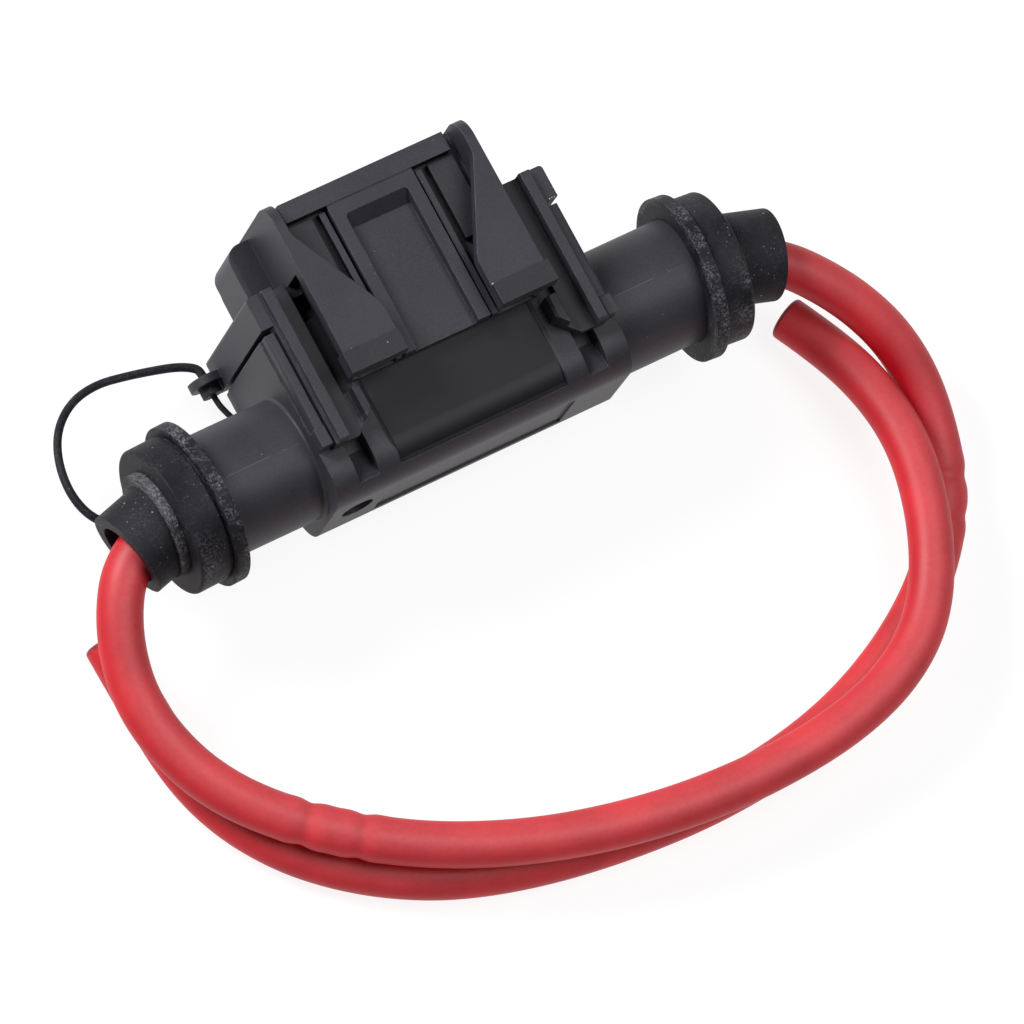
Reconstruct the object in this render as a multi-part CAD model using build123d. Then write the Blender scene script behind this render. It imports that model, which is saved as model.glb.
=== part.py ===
from build123d import *
import math
import os

# In-line holder for one MAXI blade fuse, with a sliding cover and two red leads.
# Millimetres. Built round the tube axis: X along the tubes, Y towards the cover,
# Z up, with the holder lying on the lips of the cover's two rear wings.
# The last step moves it, so that the origin is at the bottom centre of the holder.

# Housing
housingHalfLength = 25.15
housingHalfDepth = 11.6
housingBottomY = -10.75
housingCornerRadius = 5.5
housingTopY = 15.5
tubeRadius = 9.55
tubeWall = 1.8
tubeEndX = 45.5
tubeRootFillet = 0.5
tubeRootShare = 0.8  # the fillet takes at most this share of the wall beside the tube
endWallThickness = 1.75
endFlangeRim = 2.9
endFlangeBottomY = -2.95
endFlangeEdgeRadius = 0.6
partingY = 0.0
partingStep = 0.25
panelHalfWidth = 14.8
panelBevel = 0.7
panelBottomRise = 1.7
panelLapUnderCover = 1.0
panelDepth = 0.4
pocketWidth = 3.4
pocketEndInset = 3.9
pocketBottomRise = 1.6
pocketFootDepth = 1.65
pocketDepth = 3.2
pocketRise = 4.7
undersideRecessHalfWidth = 16.0
undersideRecessHalfDepth = 5.3
undersideRecessDepth = 0.35
undersideHoleRadius = 2.6
undersideHoleInset = 4.85
undersideHoleZ = 1.0
undersideHoleDepth = 2.4
moatEndWall = 3.75
moatWall = 1.8
moatDepth = 5.8
collarWall = 1.8

# Fuse
fuseWidth = 29.2
fuseHeight = 21.7
fuseThickness = 8.9
fuseBottomY = 7.8
fuseBladeWidth = 8.0
fuseBladeThickness = 0.8
fuseBladeLength = 12.6
fuseBladeInset = 3.9  # from the case's side to the middle of the blade
fuseLinkWidth = 2.4
fuseTabRise = 6.0
fuseWindowWidth = 12.0
fuseWindowHeight = 3.0
fuseWindowDepth = 0.8
fuseShoulderHeight = 6.0
fuseShoulderInset = 0.5
fuseClearance = 0.35

# Terminals and conductors
terminalWall = 1.2
terminalSlotPlay = 0.4
terminalBottomGap = 0.2
terminalCavityPlay = 0.25
crimpWall = 0.8
crimpStartX = 18.0
crimpLength = 6.5
crimpLap = 1.0
conductorRadius = 2.6
conductorEndX = 27.0
insulationCrimpX = 28.6
insulationCrimpLength = 3.4
insulationCrimpPlay = 0.25
terminalStripWidth = 4.0

# Cover: the front and rear have the same relief, measured out from the slab
slideClearance = 0.35
coverBottomY = 4.4
coverTopY = 32.2
coverTopWall = 2.0
slabWall = 0.7
bandHalfWidth = 13.95
bandBottomY = 29.2
bandRise = 2.2
plateHalfWidth = 7.23
plateRise = 2.05
ribInnerGap = 0.44
ribWidth = 0.96
ribRise = 1.45
reliefTopGap = 0.5
tongueHalfGap = 1.2
tongueOuterX = 14.1
tongueBottomY = 16.4
tongueRise = 1.3
fingerRecessHalfWidth = 5.22
fingerRecessTopY = 27.0
fingerRecessSlope = 2.1
fingerRecessDepth = 1.9
fingerRecessFootDepth = 1.6
fingerRecessCorner = 0.8

# Cover's wings: levers that hang from the side walls and stand off the body below the roof
wingZ = 19.4
wingLipRise = 0.8
wingLipTopY = 7.5
wingLipSide = 0.4
wingSkin = 2.2
wingTopY = 32.5
wingTopRadius = 3.6
wingBottomY = 4.1
wingOuterReach = 2.1
wingTaper = 0.15
wingInnerX = 8.0
wingFootY = 11.9
wingShoulderY = 26.6
wingShoulderReach = 0.4
wingBendRadius = 4.0

# Cover's roof, lobes, ears and rails
lobeEndInset = 3.85
lobeHalfDepth = 5.25
lobeTopY = 31.5
lobeRadius = 2.6
lobeWall = 1.5
roofBottomY = 19.5
roofTopY = 21.5
earBottomY = 16.25
earRim = 0.4
earCornerRadius = 0.6
railGap = 0.3
railInnerReach = 0.75
railBottomY = -3.4
railFloorWall = 1.4
railFootRise = 3.3
railLedgeWidth = 0.4
railRibWidth = 1.6
railRibRise = 2.75
railRibRadius = 0.45
railWebRise = 2.25
railWebBevel = 0.45
railWebBevelShare = 0.4  # the bevel takes at most this share of the web's width
railSlotBottomY = 3.2
# shares of the space between the rail's inner edge and its rib
railWebShare = 0.30
railSlotShare = 0.46
railFootShare = 0.59
eyeletReach = 1.75
eyeletRise = 2.15
eyeletInset = 1.5
eyeletRadius = 2.8
eyeletHoleRadius = 1.2
eyeletThickness = 1.3

# Boots: each seat is how far the tube goes in, each drum the length from flange to face
bootPlay = 0.03
bootWall = 2.02
bootFlangeRim = 1.2
bootFlangeThickness = 2.0
bootGrooveDepth = 0.5
bootGrooveWidth = 0.5
bootEdgeRadius = 0.5
bootNozzleWall = 2.0
bootHolePlay = 1.55
bootNozzleRoot = 1.2
bootHoleRun = 14.0
leftBoot = {"seat": 5.2, "drum": 7.4, "crook": 2.35, "nozzle": (6.3, -2.3, -1.0)}
rightBoot = {"seat": 4.5, "drum": 7.1, "crook": 4.5, "nozzle": (8.1, -2.1, -1.0)}
nozzleDroop = 15.0
nozzleSink = 6.0

# Leads and tether: X and Y from the tube axis, then the height above the surface
leadRadius = 3.45
leftLeadRoute = [
    (-27.0, 0.0, 19.4), (-35.0, 0.0, 19.4), (-43.2, -0.3, 19.3), (-50.6, -1.4, 18.9),
    (-55.5, -4.3, 18.1), (-58.6, -8.9, 16.7), (-60.6, -14.6, 14.7), (-61.3, -20.8, 12.7),
    (-60.3, -28.2, 11.5), (-57.1, -36.4, 11.0), (-51.5, -43.9, 10.8), (-42.6, -51.7, 10.6),
    (-32.0, -58.7, 10.7), (-19.1, -64.4, 10.8), (-4.9, -68.4, 10.8), (10.3, -70.6, 10.9),
    (25.3, -70.7, 10.8), (37.5, -69.0, 10.7), (46.9, -65.6, 10.7), (54.0, -60.3, 10.9),
    (59.2, -52.5, 11.1), (62.8, -43.4, 11.2), (64.5, -34.8, 10.9), (64.3, -26.3, 9.6),
    (62.2, -17.5, 7.8), (58.8, -9.5, 5.8)]
rightLeadRoute = [
    (27.0, 0.0, 19.4), (35.5, 0.0, 19.4), (44.5, -0.3, 19.3), (51.9, -1.3, 18.9),
    (57.4, -3.9, 18.3), (61.9, -8.3, 17.1), (66.4, -13.8, 14.9), (70.0, -20.0, 11.9),
    (71.9, -26.9, 8.5), (71.5, -35.0, 5.5), (69.2, -43.2, 3.9), (64.2, -50.7, 3.5),
    (56.2, -57.8, 3.5), (44.9, -64.1, 3.5), (31.3, -68.5, 3.5), (16.0, -70.3, 3.5),
    (-0.1, -69.8, 3.5), (-15.8, -67.4, 3.5), (-27.8, -63.9, 3.5), (-36.9, -59.4, 3.5),
    (-44.1, -54.2, 3.5), (-50.0, -48.2, 3.5), (-54.7, -40.8, 3.5), (-57.4, -32.3, 3.5),
    (-58.3, -21.4, 3.5), (-58.6, -9.9, 3.5)]
tetherRadius = 0.65
tetherRingWidth = 1.3
tetherRingRadius = 8.3
tetherKnobRadius = 1.65
tetherKnobLength = 1.6
tetherRise = 2.2
tetherLugY = 4.1
tetherLugZ = -6.7
tetherLugLength = 0.8
tetherLugRadius = 0.8
tetherRoute = [
    (-27.3, 21.0, 6.0), (-29.6, 22.2, 6.2), (-33.0, 23.0, 6.9), (-37.8, 23.8, 8.0),
    (-43.0, 24.4, 9.1), (-48.0, 23.4, 10.1), (-52.2, 20.3, 11.0), (-54.7, 15.7, 11.9),
    (-55.6, 10.4, 12.6), (-54.6, 6.0, 13.0), (-51.9, 3.6, 12.7)]


def block(x0, x1, y0, y1, z0, z1):
    middle = Pos((x0 + x1) / 2, (y0 + y1) / 2, (z0 + z1) / 2)
    return middle * Box(abs(x1 - x0), abs(y1 - y0), abs(z1 - z0))


def prismZ(points, z0, z1):
    face = make_face(Polyline(*points, close=True))
    return Pos(0, 0, z0) * extrude(face, amount=z1 - z0)


def prismX(points, x0, x1):
    # points are (y, z)
    face = make_face(Polyline(*points, close=True))
    return Pos(x0, 0, 0) * (Plane.YZ * extrude(face, amount=x1 - x0))


def prismY(points, y0, y1):
    # points are (x, z)
    face = make_face(Polyline(*[(x, y0, z) for x, z in points], close=True))
    return extrude(face, amount=y1 - y0, dir=(0, 1, 0))


def rod(start, direction, radius, length):
    return Plane(origin=start, z_dir=direction) * Cylinder(
        radius, length, align=(Align.CENTER, Align.CENTER, Align.MIN))


def leftRight(shape):
    return shape + mirror(shape, about=Plane.YZ)


def frontRear(shape):
    return shape + mirror(shape, about=Plane.XY)


def fourWays(shape):
    return leftRight(frontRear(shape))


# How far a cutter runs past the face that it opens, and how deep joined blocks lap
past = 1.0
lap = 0.1

# Sizes that follow from the ones above
bladeCentre = fuseWidth / 2 - fuseBladeInset
bladeX0 = bladeCentre - fuseBladeWidth / 2
bladeX1 = bladeCentre + fuseBladeWidth / 2
fuseTopY = fuseBottomY + fuseHeight
bladeBottomY = fuseBottomY - fuseBladeLength
terminalX0 = bladeX0 - terminalWall + terminalSlotPlay
terminalX1 = bladeX1 + terminalWall - terminalSlotPlay
terminalHalfDepth = fuseBladeThickness / 2 + terminalWall + terminalSlotPlay
terminalBottomY = bladeBottomY - terminalBottomGap - terminalWall
terminalTopY = fuseBottomY - terminalSlotPlay
wellHalfWidth = fuseWidth / 2 + fuseClearance
wellHalfDepth = fuseThickness / 2 + fuseClearance
collarHalfWidth = wellHalfWidth + collarWall
collarHalfDepth = wellHalfDepth + collarWall
tubeBoreRadius = tubeRadius - tubeWall
endFlangeHalfDepth = housingHalfDepth + endFlangeRim
earHalfDepth = endFlangeHalfDepth + earRim
earX = housingHalfLength - endWallThickness - railGap
coverInnerZ = housingHalfDepth + slideClearance
slabZ = coverInnerZ + slabWall
plateZ = slabZ + plateRise
wingFaceZ = wingZ - wingLipRise
wingUnderZ = wingFaceZ - wingSkin
wallX = wellHalfWidth + wingShoulderReach
wingOuterX = wellHalfWidth + wingOuterReach
railInnerX = wellHalfWidth + railInnerReach
railRibOuterX = earX - railLedgeWidth
railRibInnerX = railRibOuterX - railRibWidth
railFloorZ = coverInnerZ + railFloorWall
railRibZ = railFloorZ + railRibRise
eyeletX = -(housingHalfLength + eyeletReach)
eyeletY = earBottomY + eyeletRise
eyeletZ = -(earHalfDepth - eyeletInset)


def acrossRail(share):
    return railInnerX + (railRibInnerX - railInnerX) * share


# Housing: middle body, end walls with guide flanges, tubes

def roundedBody(inset):
    halfLength = housingHalfLength - inset
    halfDepth = housingHalfDepth - inset
    body = block(-halfLength, halfLength, housingBottomY + inset, housingTopY, -halfDepth, halfDepth)
    low = body.edges().filter_by(Axis.X).sort_by(Axis.Y)[:2]
    return fillet(low, housingCornerRadius - inset)


def makeEndFlange():
    # full size below the parting line, a little smaller and rounded above it
    innerX = housingHalfLength - endWallThickness
    lower = block(innerX, housingHalfLength, endFlangeBottomY, partingY, -endFlangeHalfDepth, endFlangeHalfDepth)
    step = partingStep
    upper = block(innerX, housingHalfLength - step, partingY - lap, housingTopY,
                  -endFlangeHalfDepth + step, endFlangeHalfDepth - step)
    outer = upper.edges().filter_by(Axis.Y).group_by(Axis.X)[-1]
    return lower + fillet(outer, endFlangeEdgeRadius)


def makeHousing():
    body = roundedBody(0)
    inset = roundedBody(panelDepth)
    innerX = housingHalfLength - endWallThickness
    body += leftRight(makeEndFlange())
    tube = rod((innerX, 0, 0), (1, 0, 0), tubeRadius, tubeEndX - innerX)
    body += leftRight(tube)
    rings = [e for e in body.edges().filter_by(GeomType.CIRCLE)
             if abs(abs(e.center().X) - housingHalfLength) < lap and abs(e.radius - tubeRadius) < lap]
    wall = min(housingHalfDepth, -housingBottomY) - tubeRadius
    body = fillet(rings, min(tubeRootFillet, wall * tubeRootShare))
    # front and rear panels sunk all over, round the lower corner too, with sloping sides
    floorX = panelHalfWidth - panelBevel
    bottomY = housingBottomY + panelBottomRise
    topY = coverBottomY + panelLapUnderCover
    slope = [(-floorX, housingHalfDepth - panelDepth), (floorX, housingHalfDepth - panelDepth),
             (panelHalfWidth, housingHalfDepth), (panelHalfWidth, housingHalfDepth + past),
             (-panelHalfWidth, housingHalfDepth + past), (-panelHalfWidth, housingHalfDepth)]
    panel = prismY(slope, bottomY, topY)
    panel += block(-floorX, floorX, bottomY, topY, 0, housingHalfDepth)
    body -= frontRear(panel - inset)
    # ramp pockets under the rails' ends
    pocketX1 = housingHalfLength - pocketEndInset
    pocketY = housingBottomY + pocketBottomRise
    underRailY = railBottomY + pocketDepth
    ramp = prismX([(pocketY, housingHalfDepth - pocketFootDepth),
                   (pocketY + pocketRise, housingHalfDepth - pocketDepth),
                   (underRailY, housingHalfDepth - pocketDepth),
                   (underRailY, housingHalfDepth + past),
                   (pocketY, housingHalfDepth + past)], pocketX1 - pocketWidth, pocketX1)
    body -= fourWays(ramp)
    # shallow field on the underside, left bare, and the round blind hole beside it
    body -= block(-undersideRecessHalfWidth, undersideRecessHalfWidth,
                  housingBottomY - past, housingBottomY + undersideRecessDepth,
                  -undersideRecessHalfDepth, undersideRecessHalfDepth)
    body -= rod((undersideHoleInset - housingHalfLength, housingBottomY - past, undersideHoleZ), (0, 1, 0),
                undersideHoleRadius, undersideHoleDepth + past)
    # well for the fuse, with a collar round it and a moat outside the collar
    body -= block(-wellHalfWidth, wellHalfWidth, fuseBottomY, housingTopY + past,
                  -wellHalfDepth, wellHalfDepth)
    moatHalfWidth = housingHalfLength - moatEndWall
    moatHalfDepth = housingHalfDepth - moatWall
    moat = block(-moatHalfWidth, moatHalfWidth, housingTopY - moatDepth, housingTopY + past,
                 -moatHalfDepth, moatHalfDepth)
    moat -= block(-collarHalfWidth, collarHalfWidth, housingTopY - moatDepth, housingTopY + past,
                  -collarHalfDepth, collarHalfDepth)
    body -= moat
    # one cavity for each terminal, open to the fuse and to the tube
    play = terminalCavityPlay
    cavity = block(terminalX0 - play, terminalX1 + play, terminalBottomY, fuseBottomY + past,
                   -terminalHalfDepth - play, terminalHalfDepth + play)
    bore = rod((terminalX1 + play, 0, 0), (1, 0, 0), tubeBoreRadius, tubeEndX)
    body -= leftRight(cavity)
    body -= leftRight(bore)
    return body


# Cover

def makeWing():
    # right-hand one, front and rear: a side wall above the roof, and a lever plate that hangs from it
    taperX = wingOuterX - wingTaper
    outline = [(wingOuterX, wingBottomY), (wingInnerX, wingBottomY), (wingInnerX, wingFootY),
               (wallX, wingShoulderY), (wallX, wingTopY), (taperX, wingTopY)]
    plan = prismZ(outline, -wingZ, wingZ)
    bends = [e for e in plan.edges().filter_by(Axis.Z)
             if abs(e.center().Y - wingFootY) < lap or abs(e.center().Y - wingShoulderY) < lap]
    plan = fillet(bends, wingBendRadius)
    side = block(wingInnerX - past, wingOuterX + past, wingBottomY - past, wingTopY, 0, wingFaceZ)
    top = side.edges().filter_by(Axis.X).group_by(Axis.Y)[-1].sort_by(Axis.Z)[-1:]
    wing = plan & frontRear(fillet(top, wingTopRadius))
    below = block(wingInnerX - past, wingOuterX + past, wingBottomY - past, roofTopY - lap, -wingUnderZ, wingUnderZ)
    beside = block(wingInnerX - past, wallX, roofTopY - past, wingTopY + past, -wingUnderZ, wingUnderZ)
    wing -= below
    wing -= beside
    lip = block(wingInnerX, wingOuterX + wingLipSide, wingBottomY, wingLipTopY, wingUnderZ, wingZ)
    return wing + frontRear(lip)


def makeRail():
    # right-hand front one: a thin floor with a rib along its outer side and a short web at its inner foot
    footX = acrossRail(railFootShare)
    webX = acrossRail(railWebShare)
    footY = railBottomY + railFootRise
    floor = prismZ([(wellHalfWidth, coverBottomY), (railInnerX, coverBottomY), (railInnerX, footY),
                    (footX, railBottomY), (earX, railBottomY), (earX, roofTopY),
                    (wellHalfWidth, roofTopY)], coverInnerZ, railFloorZ)
    webFootY = footY - railFootRise * (webX - railInnerX) / (footX - railInnerX)
    web = prismZ([(railInnerX, coverBottomY), (railInnerX, footY), (webX, webFootY), (webX, coverBottomY)],
                 railFloorZ - lap, railFloorZ + railWebRise)
    inner = web.edges().filter_by(Axis.Y).group_by(Axis.X)[0].sort_by(Axis.Z)[-1:]
    web = chamfer(inner, min(railWebBevel, (webX - railInnerX) * railWebBevelShare))
    ledge = block(railRibInnerX, earX, railBottomY, roofTopY, coverInnerZ, earHalfDepth)
    rib = block(railRibInnerX, railRibOuterX, railBottomY, roofTopY, coverInnerZ, railRibZ)
    ends = rib.edges().filter_by(Axis.X).group_by(Axis.Z)[-1]
    rib = fillet(ends, railRibRadius)
    slot = block(railInnerX, acrossRail(railSlotShare), railSlotBottomY, roofTopY + past,
                 coverInnerZ - past, wingZ)
    return floor + web + ledge + rib - slot


def makeCover():
    inner = coverInnerZ
    core = block(-wallX - lap, wallX + lap, coverBottomY, coverTopY, -slabZ, slabZ)
    core += block(-bandHalfWidth, bandHalfWidth, bandBottomY, coverTopY, -slabZ - bandRise, slabZ + bandRise)
    core += block(-plateHalfWidth, plateHalfWidth, coverBottomY, bandBottomY, -plateZ, plateZ)
    ribX0 = plateHalfWidth + ribInnerGap
    ribX1 = ribX0 + ribWidth
    reliefTopY = bandBottomY - reliefTopGap
    core += fourWays(block(ribX0, ribX1, coverBottomY, reliefTopY, slabZ - lap, slabZ + ribRise))
    core += fourWays(block(ribX1 + tongueHalfGap, tongueOuterX, tongueBottomY, reliefTopY,
                           slabZ - lap, slabZ + tongueRise))
    core += leftRight(makeWing())
    # lobes on the roof, beside the wings
    lobeOuterX = housingHalfLength - lobeEndInset
    lobe = block(wallX, lobeOuterX, roofTopY - past, lobeTopY, -lobeHalfDepth, lobeHalfDepth)
    upper = lobe.edges().filter_by(Axis.Z).group_by(Axis.Y)[-1]
    lobe = fillet(upper.sort_by(Axis.X)[-1:], min(lobeRadius, (lobeOuterX - wallX) / 2))
    core += leftRight(lobe)
    # roof over the housing's shoulders, with an ear at each end
    roof = block(wellHalfWidth, housingHalfLength, roofBottomY, roofTopY, -earHalfDepth, earHalfDepth)
    roof += block(earX, housingHalfLength, earBottomY, roofTopY, -earHalfDepth, earHalfDepth)
    corner = roof.edges().filter_by(Axis.Z).group_by(Axis.X)[-1].sort_by(Axis.Y)[-1:]
    roof = fillet(corner, earCornerRadius)
    channel = block(railInnerX, railRibInnerX, roofBottomY - past, roofTopY + past, railFloorZ, wingZ)
    roof -= frontRear(channel)
    slotX = acrossRail(railSlotShare)
    slot = block(railInnerX, slotX, roofBottomY - past, roofTopY + past, inner - past, wingZ)
    roof -= frontRear(slot)
    core += leftRight(roof)
    core += fourWays(makeRail())
    # hollow inside: over the housing, up round the fuse, and into the lobes
    core -= block(-earX, earX, railBottomY - past, roofBottomY, -inner, inner)
    core -= block(-wellHalfWidth, wellHalfWidth, coverBottomY - past, coverTopY - coverTopWall, -inner, inner)
    lobeHollowX = lobeOuterX - lobeWall
    lobeHollowZ = lobeHalfDepth - lobeWall
    core -= block(-lobeHollowX, lobeHollowX, coverBottomY, lobeTopY - lobeWall,
                  -lobeHollowZ, lobeHollowZ)
    # finger recess in the front and rear plates, with rounded upper corners
    recess = prismX([(coverBottomY - past, plateZ - fingerRecessFootDepth),
                     (fingerRecessTopY - fingerRecessSlope, plateZ - fingerRecessDepth),
                     (fingerRecessTopY, plateZ), (fingerRecessTopY, plateZ + past),
                     (coverBottomY - past, plateZ + past)],
                    -fingerRecessHalfWidth, fingerRecessHalfWidth)
    window = block(-fingerRecessHalfWidth, fingerRecessHalfWidth, coverBottomY - past, fingerRecessTopY,
                   0, plateZ + past)
    corners = window.edges().filter_by(Axis.Z).group_by(Axis.Y)[-1]
    core -= frontRear(recess & fillet(corners, fingerRecessCorner))
    # eyelet for the tether, on the left ear's rear end
    ring = rod((eyeletX, eyeletY - eyeletThickness / 2, eyeletZ), (0, 1, 0), eyeletRadius, eyeletThickness)
    reach = eyeletRadius + past
    ring -= block(-earX, 0, eyeletY - past, eyeletY + past, eyeletZ - reach, eyeletZ + reach)
    core += ring
    core -= rod((eyeletX, eyeletY - past, eyeletZ), (0, 1, 0), eyeletHoleRadius, 2 * past)
    return core


# Boots

def bootPlaces(data, side):
    flangeX = side * (tubeEndX - data["seat"])
    faceX = flangeX + side * data["drum"]
    reach, y, z = data["nozzle"]
    return flangeX, faceX, Vector(faceX + side * reach, y, z)


def makeBoot(data, side):
    crook = math.radians(data["crook"])
    axis = Vector(side * math.cos(crook), -math.sin(crook), 0)
    flangeX, faceX, end = bootPlaces(data, side)
    start = Vector(flangeX, 0, 0)
    boreRadius = tubeRadius + bootPlay
    drumRadius = boreRadius + bootWall
    flangeRadius = drumRadius + bootFlangeRim
    holeRadius = leadRadius + bootHolePlay
    drum = rod(start, axis, drumRadius, data["drum"])
    face = drum.faces().sort_by(Axis.X)[-1 if side > 0 else 0]
    drum = fillet(face.edges(), bootEdgeRadius)
    flange = rod(start, axis, flangeRadius, bootFlangeThickness)
    boot = drum + flange
    grooveStart = start + axis * bootFlangeThickness
    groove = rod(grooveStart, axis, flangeRadius, bootGrooveWidth)
    groove -= rod(grooveStart, axis, drumRadius - bootGrooveDepth, bootGrooveWidth)
    boot -= groove
    out = nozzleDirection(side)
    length = abs(end.X - faceX) / abs(out.X) + bootNozzleRoot
    boot += rod(end - out * length, out, holeRadius + bootNozzleWall, length)
    boot -= rod(Vector(0, 0, 0), Vector(side, 0, 0), boreRadius, tubeEndX)
    boot -= rod(end - out * bootHoleRun, out, holeRadius, bootHoleRun + past)
    return boot


def nozzleDirection(side):
    droop = math.radians(nozzleDroop)
    sink = math.radians(nozzleSink)
    return Vector(side * math.cos(droop) * math.cos(sink), -math.sin(droop) * math.cos(sink), -math.sin(sink))


# Fuse

def makeFuseElement():
    half = fuseBladeThickness / 2
    topY = fuseBottomY + fuseTabRise
    blade = block(bladeX0, bladeX1, bladeBottomY, topY, -half, half)
    link = block(-bladeX0, bladeX0, topY - fuseLinkWidth, topY, -half, half)
    return leftRight(blade) + link


def makeFuseCase():
    half = fuseWidth / 2
    depth = fuseThickness / 2
    body = block(-half, half, fuseBottomY, fuseTopY, -depth, depth)
    inset = fuseShoulderInset
    waist = block(-half - past, half + past, fuseBottomY - past, fuseTopY - fuseShoulderHeight,
                  depth - inset, depth + past)
    body -= frontRear(waist)
    window = block(-fuseWindowWidth / 2, fuseWindowWidth / 2, fuseTopY - fuseWindowDepth, fuseTopY + past,
                   -fuseWindowHeight / 2, fuseWindowHeight / 2)
    body -= window
    return body - makeFuseElement()


# Terminals

def makeTerminal():
    # right-hand one: a box for the blade, a strip, a crimp on the strands, one on the insulation
    slotX0 = bladeX0 - terminalSlotPlay / 2
    slotX1 = bladeX1 + terminalSlotPlay / 2
    body = block(terminalX0, terminalX1, terminalBottomY, terminalTopY, -terminalHalfDepth, terminalHalfDepth)
    body -= block(slotX0, slotX1, bladeBottomY - terminalBottomGap, terminalTopY + past,
                  -fuseBladeThickness / 2, fuseBladeThickness / 2)
    crimpRadius = conductorRadius + crimpWall
    insulationInner = leadRadius + insulationCrimpPlay
    insulationRadius = insulationInner + crimpWall
    halfStrip = terminalStripWidth / 2
    neckX = terminalX1 + terminalCavityPlay
    body += block(terminalX1, neckX, -halfStrip, halfStrip, -terminalHalfDepth, -terminalHalfDepth + crimpWall)
    body += block(neckX, crimpStartX + crimpWall, -halfStrip, halfStrip,
                  -crimpRadius, -terminalHalfDepth + crimpWall)
    body += rod((crimpStartX, 0, 0), (1, 0, 0), crimpRadius, crimpLength)
    crimpEndX = crimpStartX + crimpLength
    strip = block(crimpEndX - crimpLap, insulationCrimpX + crimpLap / 2, -halfStrip, halfStrip,
                  -insulationRadius, -conductorRadius)
    body += strip
    body += rod((insulationCrimpX, 0, 0), (1, 0, 0), insulationRadius, insulationCrimpLength)
    body -= rod((crimpStartX, 0, 0), (1, 0, 0), conductorRadius, conductorEndX - crimpStartX)
    body -= rod((conductorEndX, 0, 0), (1, 0, 0), insulationInner,
                insulationCrimpX + insulationCrimpLength - conductorEndX + past)
    return body


def makeConductor():
    return rod((crimpStartX, 0, 0), (1, 0, 0), conductorRadius, conductorEndX - crimpStartX)


# Cords: straight runs joined by tangent arcs, each as large as its two runs allow

def cordPath(points, name, diameter):
    corners = [Vector(*p) for p in points]
    radii = []
    for before, corner, after in zip(corners, corners[1:], corners[2:]):
        runIn = corner - before
        runOut = after - corner
        turn = math.radians(runIn.get_angle(runOut))
        radii.append(0.45 * min(runIn.length, runOut.length) / math.tan(turn / 2))
    print(name, "radii in diameters", [round(r / diameter, 1) for r in radii])
    return FilletPolyline(*corners, radius=radii)


def makeCord(route, radius, name):
    points = [(x, y, height - wingZ) for x, y, height in route]
    path = cordPath(points, name, 2 * radius)
    start = Plane(origin=path @ 0, z_dir=path % 0)
    tube = sweep(start * Circle(radius), path=path)
    expected = math.pi * radius ** 2 * path.length
    print(name, "length", round(path.length, 1), "volume ratio", round(tube.volume / expected, 4))
    return tube


# The tether runs from its knob under the eyelet, up through the hole, round to the left boot

knobTopY = eyeletY - eyeletThickness / 2


def tetherPoints():
    height = eyeletZ + wingZ
    start = [(eyeletX, knobTopY, height), (eyeletX, knobTopY + tetherRise, height)]
    return start + tetherRoute + [tetherEnd()]


def tetherRingPlane():
    crook = math.radians(leftBoot["crook"])
    flangeX, faceX, end = bootPlaces(leftBoot, -1)
    along = leftBoot["drum"]
    return Vector(flangeX - along * math.cos(crook), -along * math.sin(crook), 0)


def tetherEnd():
    ring = tetherRingPlane()
    return (ring.X - tetherRingWidth - tetherLugLength, ring.Y + tetherLugY, ring.Z + tetherLugZ + wingZ)


def makeTetherRing():
    crook = math.radians(leftBoot["crook"])
    axis = Vector(-math.cos(crook), -math.sin(crook), 0)
    ring = rod(tetherRingPlane(), axis, tetherRingRadius, tetherRingWidth)
    flangeX, faceX, end = bootPlaces(leftBoot, -1)
    out = nozzleDirection(-1)
    nozzleRadius = leadRadius + bootHolePlay + bootNozzleWall
    ring -= rod(end - out * bootHoleRun, out, nozzleRadius, bootHoleRun + past)
    # lug that the cord grows out of
    x, y, height = tetherEnd()
    tip = Vector(x, y, height - wingZ)
    x, y, height = tetherRoute[-1]
    inward = (tip - Vector(x, y, height - wingZ)).normalized()
    return ring + rod(tip, inward, tetherLugRadius, tetherLugLength + tetherRingWidth / 2)


def makeTetherKnob():
    return rod((eyeletX, knobTopY, eyeletZ), (0, -1, 0), tetherKnobRadius, tetherKnobLength)


parts = {}
parts["housing"] = makeHousing()
parts["cover"] = makeCover()
parts["boot_left"] = makeBoot(leftBoot, -1)
parts["boot_right"] = makeBoot(rightBoot, 1)
parts["fuse_case"] = makeFuseCase()
parts["fuse_element"] = makeFuseElement()
terminal = makeTerminal()
parts["terminal_right"] = terminal
parts["terminal_left"] = mirror(terminal, about=Plane.YZ)
conductor = makeConductor()
parts["conductor_right"] = conductor
parts["conductor_left"] = mirror(conductor, about=Plane.YZ)

low = [min(getattr(p.bounding_box().min, a) for p in parts.values()) for a in "XYZ"]
high = [max(getattr(p.bounding_box().max, a) for p in parts.values()) for a in "XYZ"]
shift = Pos(-(low[0] + high[0]) / 2, -(low[1] + high[1]) / 2, -low[2])
print("tube axis in the row's frame", [round(v, 4) for v in shift.position])

parts["lead_left"] = makeCord(leftLeadRoute, leadRadius, "lead_left")
parts["lead_right"] = makeCord(rightLeadRoute, leadRadius, "lead_right")
parts["tether"] = makeCord(tetherPoints(), tetherRadius, "tether")
parts["tether_ring"] = makeTetherRing()
parts["tether_knob"] = makeTetherKnob()

os.makedirs("parts", exist_ok=True)
for name, shape in parts.items():
    moved = shift * shape
    moved.label = name
    export_step(moved, "parts/" + name + ".step")
    print(name, "solids", len(moved.solids()), "volume", round(moved.volume, 1))
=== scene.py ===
import bpy
import numpy as np
from mathutils import Matrix, Vector


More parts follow.
